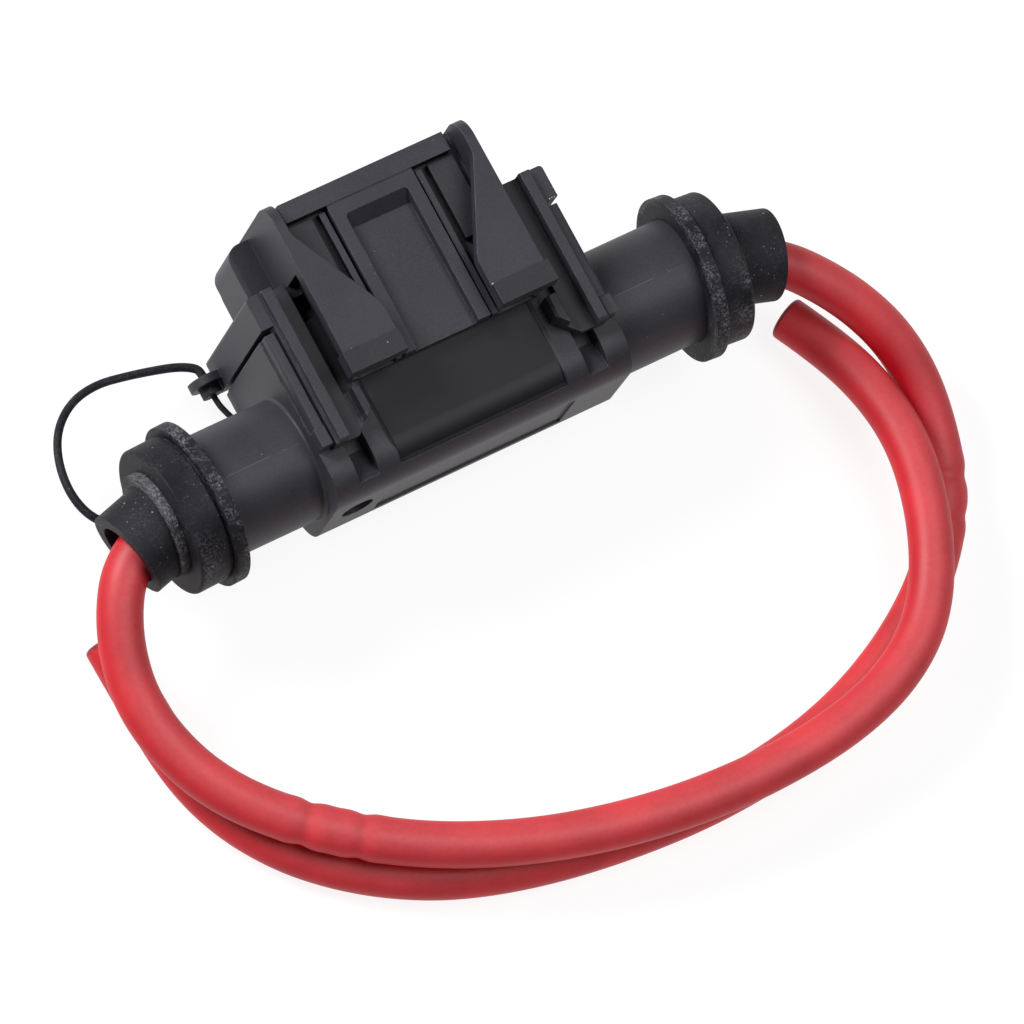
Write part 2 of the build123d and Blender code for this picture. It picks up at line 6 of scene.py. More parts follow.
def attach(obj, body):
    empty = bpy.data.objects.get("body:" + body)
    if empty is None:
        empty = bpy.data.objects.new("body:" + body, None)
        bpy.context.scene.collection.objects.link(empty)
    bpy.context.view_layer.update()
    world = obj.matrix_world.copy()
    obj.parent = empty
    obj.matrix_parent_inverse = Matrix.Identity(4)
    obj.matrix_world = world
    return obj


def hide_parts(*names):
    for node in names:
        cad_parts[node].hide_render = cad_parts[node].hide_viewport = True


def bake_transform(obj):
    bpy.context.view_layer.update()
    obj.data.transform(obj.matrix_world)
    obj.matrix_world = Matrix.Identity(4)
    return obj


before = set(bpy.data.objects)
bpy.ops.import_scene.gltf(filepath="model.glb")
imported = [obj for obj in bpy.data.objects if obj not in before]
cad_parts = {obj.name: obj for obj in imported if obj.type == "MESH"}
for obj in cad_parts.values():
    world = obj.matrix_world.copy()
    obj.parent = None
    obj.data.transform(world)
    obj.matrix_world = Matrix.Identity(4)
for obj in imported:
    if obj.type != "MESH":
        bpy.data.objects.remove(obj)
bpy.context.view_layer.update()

print("holder loaded:", len(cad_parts), "nodes")

# All places below are in metres. The tubes' axis runs along X through this point.
tubeAxis = np.array([-0.0011, -0.0097913, 0.0194])


# Camera, floor and light

camera = {
    "place": (-0.4095435, -0.2192527, 1.1644768),
    "right": (0.8526261, -0.4705352, 0.2272121),
    "up": (0.4030345, 0.8689704, 0.2871474),
    "back": (-0.3325535, -0.1532551, 0.9305488),
    "lens": 295.3125,
    "sensor": 36.0,
    "nearest": 0.05,
    "furthest": 20.0,
}


def makeCamera(settings):
    data = bpy.data.cameras.new("photoCamera")
    data.lens = settings["lens"]
    data.sensor_width = settings["sensor"]
    data.sensor_fit = "HORIZONTAL"
    data.clip_start = settings["nearest"]
    data.clip_end = settings["furthest"]
    item = bpy.data.objects.new("photoCamera", data)
    bpy.context.scene.collection.objects.link(item)
    turn = Matrix((settings["right"], settings["up"], settings["back"])).transposed().to_4x4()
    item.matrix_world = Matrix.Translation(settings["place"]) @ turn
    bpy.context.scene.camera = item


studio = {
    "floorSize": 6.0,
    "floorColour": (0.17, 0.17, 0.17, 1.0),
    "floorRoughness": 0.9,
    "glowColour": (1.0, 1.0, 1.0, 1.0),
    "floorGlow": 0.88,
    "sky": (1.0, 1.0, 1.0, 1.0),
    "skyStrength": 0.09,
    # name: place, aim, width, power
    "lights": {
        "keyLight": ((-0.62, 0.72, 0.74), (0.0, 0.0, 0.0), 0.55, 15.0),
        "topLight": ((0.30, -0.20, 1.20), (0.0, 0.0, 0.0), 0.80, 7.5),
    },
}


def makeFloor(settings):
    # the floor glows a little, so that it stays white and the shadows stay faint
    half = settings["floorSize"] / 2
    corners = [(-half, -half, 0), (half, -half, 0), (half, half, 0), (-half, half, 0)]
    mesh = bpy.data.meshes.new("floor")
    mesh.from_pydata(corners, [], [(0, 1, 2, 3)])
    floor = bpy.data.objects.new("floor", mesh)
    bpy.context.scene.collection.objects.link(floor)
    paint = bpy.data.materials.new("floorPaint")
    paint.use_nodes = True
    shader = paint.node_tree.nodes["Principled BSDF"]
    shader.inputs["Base Color"].default_value = settings["floorColour"]
    shader.inputs["Roughness"].default_value = settings["floorRoughness"]
    shader.inputs["Specular IOR Level"].default_value = 0.0
    shader.inputs["Emission Color"].default_value = settings["glowColour"]
    shader.inputs["Emission Strength"].default_value = settings["floorGlow"]
    mesh.materials.append(paint)


def makeLight(settings):
    world = bpy.data.worlds.new("studioSky")
    world.use_nodes = True
    world.node_tree.nodes["Background"].inputs["Color"].default_value = settings["sky"]
    world.node_tree.nodes["Background"].inputs["Strength"].default_value = settings["skyStrength"]
    bpy.context.scene.world = world
    for name, (place, aim, width, power) in settings["lights"].items():
        lamp = bpy.data.lights.new(name, "AREA")
        lamp.shape = "DISK"
        lamp.size = width
        lamp.energy = power
        item = bpy.data.objects.new(name, lamp)
        bpy.context.scene.collection.objects.link(item)
        item.location = place
        item.rotation_euler = (Vector(aim) - Vector(place)).to_track_quat("-Z", "Y").to_euler()


makeCamera(camera)
makeFloor(studio)
makeLight(studio)
bpy.context.scene.view_settings.view_transform = "Standard"  # keeps the reds and the white floor
print("camera, floor and lights set")


# Shader maths

foldLift = 0.1  # how far a folded place is moved up in Y, so that Y never turns negative
dotCore = 0.5  # the share of a dot's radius inside which it has its full strength
pickFade = 0.02  # how softly the cells with a dot are told from those without
bevelSamples = 6


class Signal:
    # one output socket; arithmetic on signals adds Math nodes
    def __init__(self, recipe, socket):
        self.recipe = recipe
        self.socket = socket

    def math(self, operation, *others):
        sockets = {0: self, **dict(enumerate(others, 1))}
        return self.recipe.add("ShaderNodeMath", {"operation": operation}, sockets)

    def __add__(self, other):
        return self.math("ADD", other)

    def __radd__(self, other):
        return self.math("ADD", other)

    def __sub__(self, other):
        return self.math("SUBTRACT", other)

    def __rsub__(self, other):
        return self.recipe.add("ShaderNodeMath", {"operation": "SUBTRACT"}, {0: other, 1: self})

    def __mul__(self, other):
        return self.math("MULTIPLY", other)

    def __rmul__(self, other):
        return self.math("MULTIPLY", other)

    def __abs__(self):
        return self.math("ABSOLUTE")

    def step(self, low, high):
        # 0 below low, 1 above high, smooth between
        ranges = {"From Min": low, "From Max": high, "Value": self}
        return self.recipe.add("ShaderNodeMapRange", {"interpolation_type": "SMOOTHSTEP"}, ranges)


class Recipe:
    # one material, built from nodes that are added in order
    def __init__(self, name):
        self.material = bpy.data.materials.new(name)
        self.material.use_nodes = True
        self.tree = self.material.node_tree
        self.shader = self.tree.nodes["Principled BSDF"]

    def add(self, kind, settings, sockets, output=0):
        node = self.tree.nodes.new(kind)
        for key, value in settings.items():
            setattr(node, key, value)
        for key, value in sockets.items():
            self.feed(node.inputs[key], value)
        return Signal(self, node.outputs[output])

    def feed(self, socket, value):
        if isinstance(value, Signal):
            self.tree.links.new(value.socket, socket)
        else:
            socket.default_value = value

    def set(self, **values):
        names = {"colour": "Base Color", "roughness": "Roughness", "metallic": "Metallic",
                 "normal": "Normal", "specular": "Specular IOR Level"}
        for key, value in values.items():
            self.feed(self.shader.inputs[names[key]], value)

    def place(self):
        return self.add("ShaderNodeTexCoord", {}, {}, "Object")

    def noise(self, place, scale, detail, roughness):
        sockets = {"Vector": place, "Scale": scale, "Detail": detail, "Roughness": roughness}
        return self.add("ShaderNodeTexNoise", {}, sockets, "Fac")

    def mix(self, factor, first, second):
        # sockets 6 and 7 are the two colours, and output 2 is the mixed colour
        return self.add("ShaderNodeMix", {"data_type": "RGBA"}, {0: factor, 6: first, 7: second}, 2)

    def along(self, place, letter):
        return self.add("ShaderNodeSeparateXYZ", {}, {"Vector": place}, letter)

    def vector(self, operation, *places, output="Vector"):
        return self.add("ShaderNodeVectorMath", {"operation": operation}, dict(enumerate(places)), output)

    def bump(self, strength, distance, height, normal):
        sockets = {"Strength": strength, "Distance": distance, "Height": height, "Normal": normal}
        return self.add("ShaderNodeBump", {}, sockets)

    def mirrored(self, place):
        # the same for all four quarters round the tubes' axis: X and Z are folded,
        # and Y stays, moved up by foldLift
        moved = self.vector("SUBTRACT", place, (tubeAxis - (0, foldLift, 0)).tolist())
        return self.vector("ABSOLUTE", moved)

    def inside(self, folded, low, high, soft):
        # 1 in a box, 0 outside: how far the point is outside the box on its worst axis
        middle = [(a + b) / 2 for a, b in zip(low, high)]
        half = [(b - a) / 2 for a, b in zip(low, high)]
        middle[1] += foldLift
        off = self.vector("SUBTRACT", self.vector("ABSOLUTE", self.vector("SUBTRACT", folded, middle)), half)
        worst = self.along(off, "X").math("MAXIMUM", self.along(off, "Y"))
        return 1 - worst.math("MAXIMUM", self.along(off, "Z")).step(-soft, 0.0)

    def spot(self, place, centre, radius):
        # 1 near centre, 0 outside the radius
        far = self.vector("DISTANCE", place, centre, output="Value")
        return 1 - far.step(radius * dotCore, radius)

    def rounded(self, radius):
        # the normal as if each edge were rounded to this radius
        return self.add("ShaderNodeBevel", {"samples": bevelSamples}, {"Radius": radius})

    def edges(self, bent):
        # 1 on a rounded edge, 0 on flat faces: the rounded normal against the true one
        true = self.add("ShaderNodeNewGeometry", {}, {}, "Normal")
        return 1 - self.vector("DOT_PRODUCT", bent, true, output="Value")

    def specks(self, place, scale, share, size):
        # bright dots: cells whose random value is under share, inside size of the cell's centre
        near = self.add("ShaderNodeTexVoronoi", {}, {"Vector": place, "Scale": scale}, "Distance")
        tone = self.add("ShaderNodeTexVoronoi", {}, {"Vector": place, "Scale": scale}, "Color")
        pick = self.add("ShaderNodeSeparateColor", {}, {"Color": tone})
        return (1 - near.step(size * dotCore, size)) * (1 - pick.step(share, share + pickFade))


# Plastics, rubber and metal of the holder

mouldedPlastic = {
    "dark": (0.023, 0.0225, 0.030, 1), "light": (0.041, 0.0405, 0.051, 1),
    # edge: the colour of the worn edges with their painted highlight, and of the seam line
    "edge": (0.17, 0.17, 0.19, 1), "worn": (0.42, 0.42, 0.44, 1),
    # deep: the colour of the painted shade
    "deep": (0.003, 0.003, 0.006, 1), "flash": (0.8, 0.8, 0.8, 1),
    "roughness": 0.47, "cloudRoughness": 0.08, "wearGloss": 0.1, "specular": 0.34,
    "edgeRadius": 0.00022, "bump": 0.45, "grainHeight": 0.00004,
    # each noise's scale, detail and roughness, and the values between which it shows
    "cloud": (55.0, 3.0, 0.55), "cloudStep": (0.3, 0.7), "cloudShare": 0.5,
    "grain": (4600.0, 2.0, 0.6), "grainStep": (0.38, 0.62), "grainShare": 0.5,
    "patch": (420.0, 4.0, 0.7), "patchStep": (0.35, 0.75),
    "handled": (150.0, 2.0, 0.5), "handledStep": (0.62, 0.72),
    "wearAndHighlightStep": (0.02, 0.22), "wearAndHighlightShare": 0.75, "rubStep": (0.10, 0.30), "rubShare": 0.5,
    "dust": (900.0, 0.06, 0.10), "dustShare": 0.35,  # the dots' scale, share and size
    "shadeSoft": 0.0001, "flashShare": 0.8,
}
# painted shade on the cover: boxes painted towards the deep colour on slots, gaps, channels, walls and lobes
# that lie in shade, from the tubes' axis and the same in all four quarters: low corner, high corner, share
coverPaintedShade = [
    ((0.00850, 0.0160, 0.0120), (0.00998, 0.02880, 0.01402), 0.94),  # deep slot beside each rib
    ((0.00710, 0.0043, 0.0120), (0.00780, 0.02880, 0.01402), 0.85),  # gap between plate and rib
    ((0.00710, 0.02858, 0.0120), (0.01400, 0.02932, 0.01475), 0.85),  # gap under the band
    ((0.01810, -0.0036, 0.0125), (0.02122, 0.0216, 0.01450), 0.45),  # floor of the rail's channel
    ((0.01555, 0.0046, 0.0105), (0.01832, 0.0216, 0.01550), 0.78),  # walls of the rail's slot
    ((0.01540, -0.0010, 0.0128), (0.01832, 0.0046, 0.01620), 0.45),  # web at the rail's foot
    ((0.00780, 0.0038, 0.01855), (0.01770, 0.00755, 0.0198), 0.42),  # lip at the foot of each wing
    ((0.00998, 0.0162, 0.0135), (0.01425, 0.02876, 0.01430), 0.30),  # raised panel
    ((0.01530, 0.0212, -0.001), (0.02060, 0.0316, 0.00540), 0.40),  # lobes between the wings
]
# crumbs of flash on the cover: centre from the tubes' axis, radius
coverFlash = [
    ((0.0083, 0.0076, 0.0186), 0.00022), ((0.0046, 0.0055, 0.0141), 0.00018),
    ((-0.0105, 0.0062, 0.0195), 0.00016), ((0.0238, 0.01630, 0.0150), 0.00020),
    ((0.0242, 0.01635, 0.0150), 0.00016), ((0.0246, 0.01625, 0.0150), 0.00020),
]
# painted shade on the housing, with the same columns as on the cover
housingPaintedShade = [
    ((-0.02, -0.0093, 0.0100), (0.01430, 0.0050, 0.01175), 0.92),  # the sunk panels, painted darker
    ((0.01555, 0.0030, 0.0110), (0.01832, 0.0180, 0.01200), 0.92),  # painted shade on the wall behind the rail's slot
]
seamLine = {
    "height": 0.00005, "core": 0.000021, "reach": 0.000154,  # across: height of its middle, full, gone
    "from": 0.0262, "fromFade": 0.0002, "to": 0.0385, "toFade": 0.0004,  # along, from the middle of the tubes
    "tubeTop": 0.0281, "topFade": 0.0003,
    "breaks": (260.0, 2.0, 0.5), "breakStep": (0.40, 0.52), "share": 0.35, "ridge": 3.0,
}


def seamMask(recipe, place, seam):
    # 1 on the mould's parting line along the tubes, at the front, broken here and there
    across = abs(recipe.along(place, "Y") - float(tubeAxis[1]) - seam["height"])
    line = 1 - across.step(seam["core"], seam["reach"])
    off = abs(recipe.along(place, "X") - float(tubeAxis[0]))
    line = line * off.step(seam["from"], seam["from"] + seam["fromFade"])
    line = line * (1 - off.step(seam["to"], seam["to"] + seam["toFade"]))
    line = line * recipe.along(place, "Z").step(seam["tubeTop"], seam["tubeTop"] + seam["topFade"])
    return line * recipe.noise(place, *seam["breaks"]).step(*seam["breakStep"])


def makePlastic(name, settings, paintedShadeBoxes, flash=(), seam=None):
    recipe = Recipe(name)
    place = recipe.place()
    cloud = recipe.noise(place, *settings["cloud"])
    grain = recipe.noise(place, *settings["grain"])
    bent = recipe.rounded(settings["edgeRadius"])
    edge = recipe.edges(bent)
    # wear and painted highlight: the edges are painted lighter in patches, partly wear and partly a painted
    # highlight where the rounded edges catch the light
    wearAndHighlight = edge.step(*settings["wearAndHighlightStep"])
    wearAndHighlight = wearAndHighlight * recipe.noise(place, *settings["patch"]).step(*settings["patchStep"])
    rub = edge.step(*settings["rubStep"])
    rub = rub * recipe.noise(place, *settings["handled"]).step(*settings["handledStep"])
    tone = cloud.step(*settings["cloudStep"]) * settings["cloudShare"]
    tone = tone + grain.step(*settings["grainStep"]) * settings["grainShare"]
    colour = recipe.mix(tone, settings["dark"], settings["light"])
    colour = recipe.mix(wearAndHighlight * settings["wearAndHighlightShare"], colour, settings["edge"])
    colour = recipe.mix(rub * settings["rubShare"], colour, settings["worn"])
    dust = recipe.specks(place, *settings["dust"])
    colour = recipe.mix(dust * settings["dustShare"], colour, settings["worn"])
    folded = recipe.mirrored(place)
    # painted shade: each box mixes the colour towards the deep colour where shade would fall
    for low, high, share in paintedShadeBoxes:
        paintedShadeMask = recipe.inside(folded, low, high, settings["shadeSoft"])
        colour = recipe.mix(paintedShadeMask * share, colour, settings["deep"])
    for centre, radius in flash:
        crumb = recipe.spot(place, (tubeAxis + centre).tolist(), radius)
        colour = recipe.mix(crumb * settings["flashShare"], colour, settings["flash"])
    height = grain
    if seam:
        line = seamMask(recipe, place, seam)
        colour = recipe.mix(line * seam["share"], colour, settings["edge"])
        height = height + line * seam["ridge"]
    rough = settings["roughness"] + cloud * settings["cloudRoughness"] - wearAndHighlight * settings["wearGloss"]
    bump = recipe.bump(settings["bump"], settings["grainHeight"], height, bent)
    recipe.set(colour=colour, roughness=rough, normal=bump, specular=settings["specular"])
    return recipe.material


softRubber = {
    "dark": (0.007, 0.007, 0.0105, 1), "light": (0.018, 0.0175, 0.0235, 1),
    "dust": (0.42, 0.42, 0.46, 1), "paintedEdgeHighlight": (0.22, 0.22, 0.24, 1),
    "roughness": 0.52, "edgeRadius": 0.0003,
}
ringFinish = {
    "dark": (0.020, 0.020, 0.024, 1), "light": (0.070, 0.070, 0.078, 1),
    "dust": (0.60, 0.60, 0.64, 1), "paintedEdgeHighlight": (0.34, 0.34, 0.36, 1),
    "roughness": 0.6, "edgeRadius": 0.00035,
}
# the marks that all the rubber has
rubberMarks = {
    "cloud": (130.0, 4.0, 0.6), "cloudStep": (0.35, 0.7), "cloudRoughness": 0.15, "cloudHeight": 2.0,
    "patch": (190.0, 3.0, 0.6), "patchStep": (0.42, 0.66),
    "fine": (2300.0, 0.22, 0.28), "fineShare": 0.45,
    "large": (900.0, 0.10, 0.16), "largeShare": 0.6, "largeHeight": 0.8,
    "highlightEdge": (0.05, 0.30), "highlightNoise": (900.0, 3.0, 0.6), "highlightStep": (0.40, 0.65), "highlightShare": 0.5,
    "film": (240.0, 3.0, 0.6), "filmStep": (0.36, 0.62),
    "filmGrain": (2600.0, 4.0, 0.75), "filmGrainStep": (0.44, 0.64), "filmShare": 0.22,
    "flangeFrom": 0.01165, "flangeFade": 0.0003, "drumFilm": 0.20,  # the film inside and outside the flange
    "grain": (3200.0, 3.0, 0.6), "bump": 0.5, "grainHeight": 0.00005, "specular": 0.20,
}


def makeRubber(name, settings, marks, dusty=1.0, flangeFilm=None):
    recipe = Recipe(name)
    place = recipe.place()
    cloud = recipe.noise(place, *marks["cloud"])
    bent = recipe.rounded(settings["edgeRadius"])
    patch = recipe.noise(place, *marks["patch"]).step(*marks["patchStep"])
    fine = recipe.specks(place, *marks["fine"]) * patch
    large = recipe.specks(place, *marks["large"])
    # painted highlight: the rounded edges are painted lighter, broken up by noise, where the edges catch the
    # light
    paintedEdgeHighlight = recipe.edges(bent).step(*marks["highlightEdge"])
    paintedEdgeHighlight = paintedEdgeHighlight * recipe.noise(place, *marks["highlightNoise"]).step(*marks["highlightStep"])
    film = recipe.noise(place, *marks["film"]).step(*marks["filmStep"])
    film = film * recipe.noise(place, *marks["filmGrain"]).step(*marks["filmGrainStep"])
    if flangeFilm:
        # the flange, further than flangeFrom from the tubes' axis, has gathered more dust
        out = recipe.vector("MULTIPLY", recipe.mirrored(place), (0, 1, 1))
        out = recipe.vector("DISTANCE", out, (0, foldLift, 0), output="Value")
        out = out.step(marks["flangeFrom"], marks["flangeFrom"] + marks["flangeFade"])
        film = film * (marks["drumFilm"] + out * flangeFilm)
    colour = recipe.mix(cloud.step(*marks["cloudStep"]), settings["dark"], settings["light"])
    colour = recipe.mix(film * (marks["filmShare"] * dusty), colour, settings["dust"])
    colour = recipe.mix(paintedEdgeHighlight * marks["highlightShare"], colour, settings["paintedEdgeHighlight"])
    colour = recipe.mix(fine * (marks["fineShare"] * dusty), colour, settings["dust"])
    colour = recipe.mix(large * (marks["largeShare"] * dusty), colour, settings["dust"])
    height = recipe.noise(place, *marks["grain"]) + cloud * marks["cloudHeight"]
    height = height + large * marks["largeHeight"]
    bump = recipe.bump(marks["bump"], marks["grainHeight"], height, bent)
    rough = settings["roughness"] + cloud * marks["cloudRoughness"]
    recipe.set(colour=colour, roughness=rough, normal=bump, specular=marks["specular"])
    return recipe.material


fuseFinish = {
    "dark": (0.02, 0.10, 0.46, 1), "light": (0.03, 0.15, 0.58, 1), "flow": (220.0, 2.0, 0.5),
    "roughness": 0.25, "flowRoughness": 0.1, "edgeRadius": 0.0002, "specular": 0.5,
}


def makeFusePlastic(name, settings):
    recipe = Recipe(name)
    flow = recipe.noise(recipe.place(), *settings["flow"])
    colour = recipe.mix(flow, settings["dark"], settings["light"])
    rough = settings["roughness"] + flow * settings["flowRoughness"]
    bent = recipe.rounded(settings["edgeRadius"])
    recipe.set(colour=colour, roughness=rough, normal=bent, specular=settings["specular"])
    return recipe.material


tinFinish = {"dark": (0.50, 0.50, 0.50, 1), "light": (0.72, 0.72, 0.70, 1), "stretch": (0.1, 1.0, 1.0)}
copperFinish = {"dark": (0.55, 0.24, 0.12, 1), "light": (0.80, 0.40, 0.22, 1), "stretch": (0.05, 1.0, 1.0)}
brushed = {
    "streak": (900.0, 3.0, 0.6), "roughness": 0.25, "streakRoughness": 0.2,
    "edgeRadius": 0.00015, "bump": 0.3, "streakHeight": 0.00002,
}


def makeMetal(name, settings, marks):
    # brushed along X
    recipe = Recipe(name)
    sockets = {"Vector": recipe.place(), "Scale": settings["stretch"]}
    streak = recipe.noise(recipe.add("ShaderNodeMapping", {}, sockets), *marks["streak"])
    colour = recipe.mix(streak, settings["dark"], settings["light"])
    rough = marks["roughness"] + streak * marks["streakRoughness"]
    bump = recipe.bump(marks["bump"], marks["streakHeight"], streak, recipe.rounded(marks["edgeRadius"]))
    recipe.set(colour=colour, roughness=rough, metallic=1.0, normal=bump)
    return recipe.material


coverPlastic = makePlastic("coverPlastic", mouldedPlastic, coverPaintedShade, flash=coverFlash)
housingPlastic = makePlastic("housingPlastic", mouldedPlastic, housingPaintedShade, seam=seamLine)
leftRubber = makeRubber("leftRubber", softRubber, rubberMarks, flangeFilm=1.6)
rightRubber = makeRubber("rightRubber", softRubber, rubberMarks, flangeFilm=1.2)
ringRubber = makeRubber("ringRubber", ringFinish, rubberMarks, dusty=1.5)
tetherRubber = makeRubber("tetherRubber", softRubber, rubberMarks, dusty=0.3)
fuseBlue = makeFusePlastic("fuseBlue", fuseFinish)
tinned = makeMetal("tinned", tinFinish, brushed)
copperStrand = makeMetal("copperStrand", copperFinish, brushed)

finishOfNode = {
    "housing": housingPlastic, "cover": coverPlastic, "boot_left": leftRubber, "boot_right": rightRubber,
    "tether_ring": ringRubber, "tether_knob": tetherRubber, "fuse_case": fuseBlue, "fuse_element": tinned,
    "terminal_left": tinned, "terminal_right": tinned, "conductor_left": copperStrand,
    "conductor_right": copperStrand,
}
for name, finish in finishOfNode.items():
    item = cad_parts[name]
    item.data.materials.clear()
    item.data.materials.append(finish)
print("finishes on the solid pieces")


# Inner skirt of the cover, a dark wall standing in for the shade in the rails' slots: it hangs in the moat
# round the fuse, and shuts off the view through the rails' slots, so that they show dark

skirt = {
    "halfWidth": 0.0189, "halfDepth": 0.0082, "corner": 0.0022, "cornerSteps": 8,
    "wall": 0.0012, "bottom": 0.0105, "top": 0.01955,
}


def roundedLoop(halfWidth, halfDepth, corner, steps):
    # a rectangle with round corners: a quarter circle about each corner's centre, one after the other
    angle = np.linspace(0.0, np.pi / 2, steps)
    loops = []
    for quarter, (sx, sz) in enumerate([(1, 1), (-1, 1), (-1, -1), (1, -1)]):
        turn = angle + quarter * np.pi / 2
        centre = np.array([sx * (halfWidth - corner), sz * (halfDepth - corner)])
        loops.append(centre + corner * np.column_stack([np.cos(turn), np.sin(turn)]))
    return np.concatenate(loops)


def makeShadeSkirt(settings):
    # four loops, outer and inner at the bottom and the top, joined in a ring round the wall's section
    loops = []
    for inset in (0.0, settings["wall"]):
        sizes = [settings[key] - inset for key in ("halfWidth", "halfDepth", "corner")]
        loops.append(roundedLoop(*sizes, settings["cornerSteps"]))
    outer, inner = loops
    section = [(outer, settings["bottom"]), (inner, settings["bottom"]),
               (inner, settings["top"]), (outer, settings["top"])]
    rings = np.array([np.insert(loop, 1, height, axis=1) for loop, height in section])
    count, around, _ = rings.shape
    r, c = np.meshgrid(np.arange(count), np.arange(around), indexing="ij")
    nextR = (r + 1) % count
    nextC = (c + 1) % around
    quads = np.stack([r * around + c, r * around + nextC, nextR * around + nextC, nextR * around + c], -1)
    mesh = bpy.data.meshes.new("coverShadeSkirt")
    mesh.from_pydata((rings.reshape(-1, 3) + tubeAxis).tolist(), [], quads.reshape(-1, 4).tolist())
    mesh.materials.append(coverPlastic)
    item = bpy.data.objects.new("coverShadeSkirt", mesh)
    bpy.context.scene.collection.objects.link(item)
    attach(item, "cover_body")


makeShadeSkirt(skirt)
print("skirt inside the cover")


# Leads and tether: routes in X and Y from the tubes' axis, in Z from the floor. Resolution counts the
# points of each span of the spline, around those of each ring, and rounding is the cut edge's radius.

leftLead = {
    "radius": 0.00345, "resolution": 24, "around": 48, "rounding": 0.0006,
    "route": [
        (-0.0270, 0.0000, 0.0194), (-0.0350, 0.0000, 0.0194), (-0.0432, -0.0003, 0.0193),
        (-0.0506, -0.0014, 0.0189), (-0.0555, -0.0043, 0.0181), (-0.0586, -0.0089, 0.0167),
        (-0.0606, -0.0146, 0.0147), (-0.0613, -0.0208, 0.0127), (-0.0603, -0.0282, 0.0115),
        (-0.0571, -0.0364, 0.0110), (-0.0515, -0.0439, 0.0108), (-0.0426, -0.0517, 0.0106),
        (-0.0320, -0.0587, 0.0107), (-0.0191, -0.0644, 0.0108), (-0.0049, -0.0684, 0.0108),
        (0.0103, -0.0706, 0.0109), (0.0253, -0.0707, 0.0108), (0.0375, -0.0690, 0.0107),
        (0.0469, -0.0656, 0.0107), (0.0540, -0.0603, 0.0109), (0.0592, -0.0525, 0.0111),
        (0.0628, -0.0434, 0.0112), (0.0645, -0.0348, 0.0109), (0.0643, -0.0263, 0.0096),
        (0.0622, -0.0175, 0.0078), (0.0588, -0.0095, 0.0058)],
    # where a tie has pinched the insulation: a point near the centre line, the depth and the half width
    "pinches": [((-0.0465, -0.0475, 0.0107), 0.00028, 0.0011), ((-0.0405, -0.0529, 0.0107), 0.00026, 0.0011)],
}
rightLead = {
    "radius": 0.00345, "resolution": 24, "around": 48, "rounding": 0.0006,
    "route": [
        (0.0270, 0.0000, 0.0194), (0.0355, 0.0000, 0.0194), (0.0445, -0.0003, 0.0193),
        (0.0519, -0.0013, 0.0189), (0.0574, -0.0039, 0.0183), (0.0619, -0.0083, 0.0171),
        (0.0664, -0.0138, 0.0149), (0.0700, -0.0200, 0.0119), (0.0719, -0.0269, 0.0085),
        (0.0715, -0.0350, 0.0055), (0.0692, -0.0432, 0.0039), (0.0642, -0.0507, 0.0035),
        (0.0562, -0.0578, 0.0035), (0.0449, -0.0641, 0.0035), (0.0313, -0.0685, 0.0035),
        (0.0160, -0.0703, 0.0035), (-0.0001, -0.0698, 0.0035), (-0.0158, -0.0674, 0.0035),
        (-0.0278, -0.0639, 0.0035), (-0.0369, -0.0594, 0.0035), (-0.0441, -0.0542, 0.0035),
        (-0.0500, -0.0482, 0.0035), (-0.0547, -0.0408, 0.0035), (-0.0574, -0.0323, 0.0035),
        (-0.0583, -0.0214, 0.0035), (-0.0586, -0.0099, 0.0035)],
    "pinches": [((0.0697, -0.0421, 0.0042), 0.00024, 0.0010), ((0.0670, -0.0470, 0.0037), 0.00022, 0.0010)],
}
tetherCord = {
    "radius": 0.00065, "resolution": 12, "around": 20, "rounding": 0.00005,
    "route": [
        (-0.0269, 0.01775, 0.0060), (-0.0269, 0.01995, 0.0060), (-0.0273, 0.0210, 0.0060),
        (-0.0296, 0.0222, 0.0062), (-0.0330, 0.0230, 0.0069), (-0.0378, 0.0238, 0.0080),
        (-0.0430, 0.0244, 0.0091), (-0.0480, 0.0234, 0.0101), (-0.0522, 0.0203, 0.0110),
        (-0.0547, 0.0157, 0.0119), (-0.0556, 0.0104, 0.0126), (-0.0546, 0.0060, 0.0130),
        (-0.0519, 0.0036, 0.0127), (-0.04979, 0.0038, 0.0127)],
    "pinches": [],
}
# the short tail under the knob, left from tying the tether's end
knobTail = {
    "radius": 0.00045, "resolution": 6, "around": 12, "rounding": 0.00005,
    "route": [(-0.0269, 0.0169, 0.0060), (-0.0269, 0.0152, 0.0060), (-0.0265, 0.0134, 0.0059),
              (-0.0258, 0.0117, 0.0058)],
    "pinches": [],
}
tubeSurface = {
    "swells": [(310.0, 0.0, 0.00001), (143.0, 1.0, 0.000015)],  # rate along the run, phase, height
    "bulge": 0.25, "bulgeAt": 2.2,  # beside a pinch: share of its depth, and how many half widths away
    "roundingFrom": 0.15, "roundingSteps": 5,  # angle at which the cut edge's rounding starts, and its rings
    "capShares": (0.8, 0.55, 0.3, 0.1), "capDish": 0.00012,  # rings on the cut face
    "capRun": 0.001,  # the cut edge and face lie this far past the end in the UV map
}
sideways = np.array([tubeAxis[0], tubeAxis[1], 0.0])


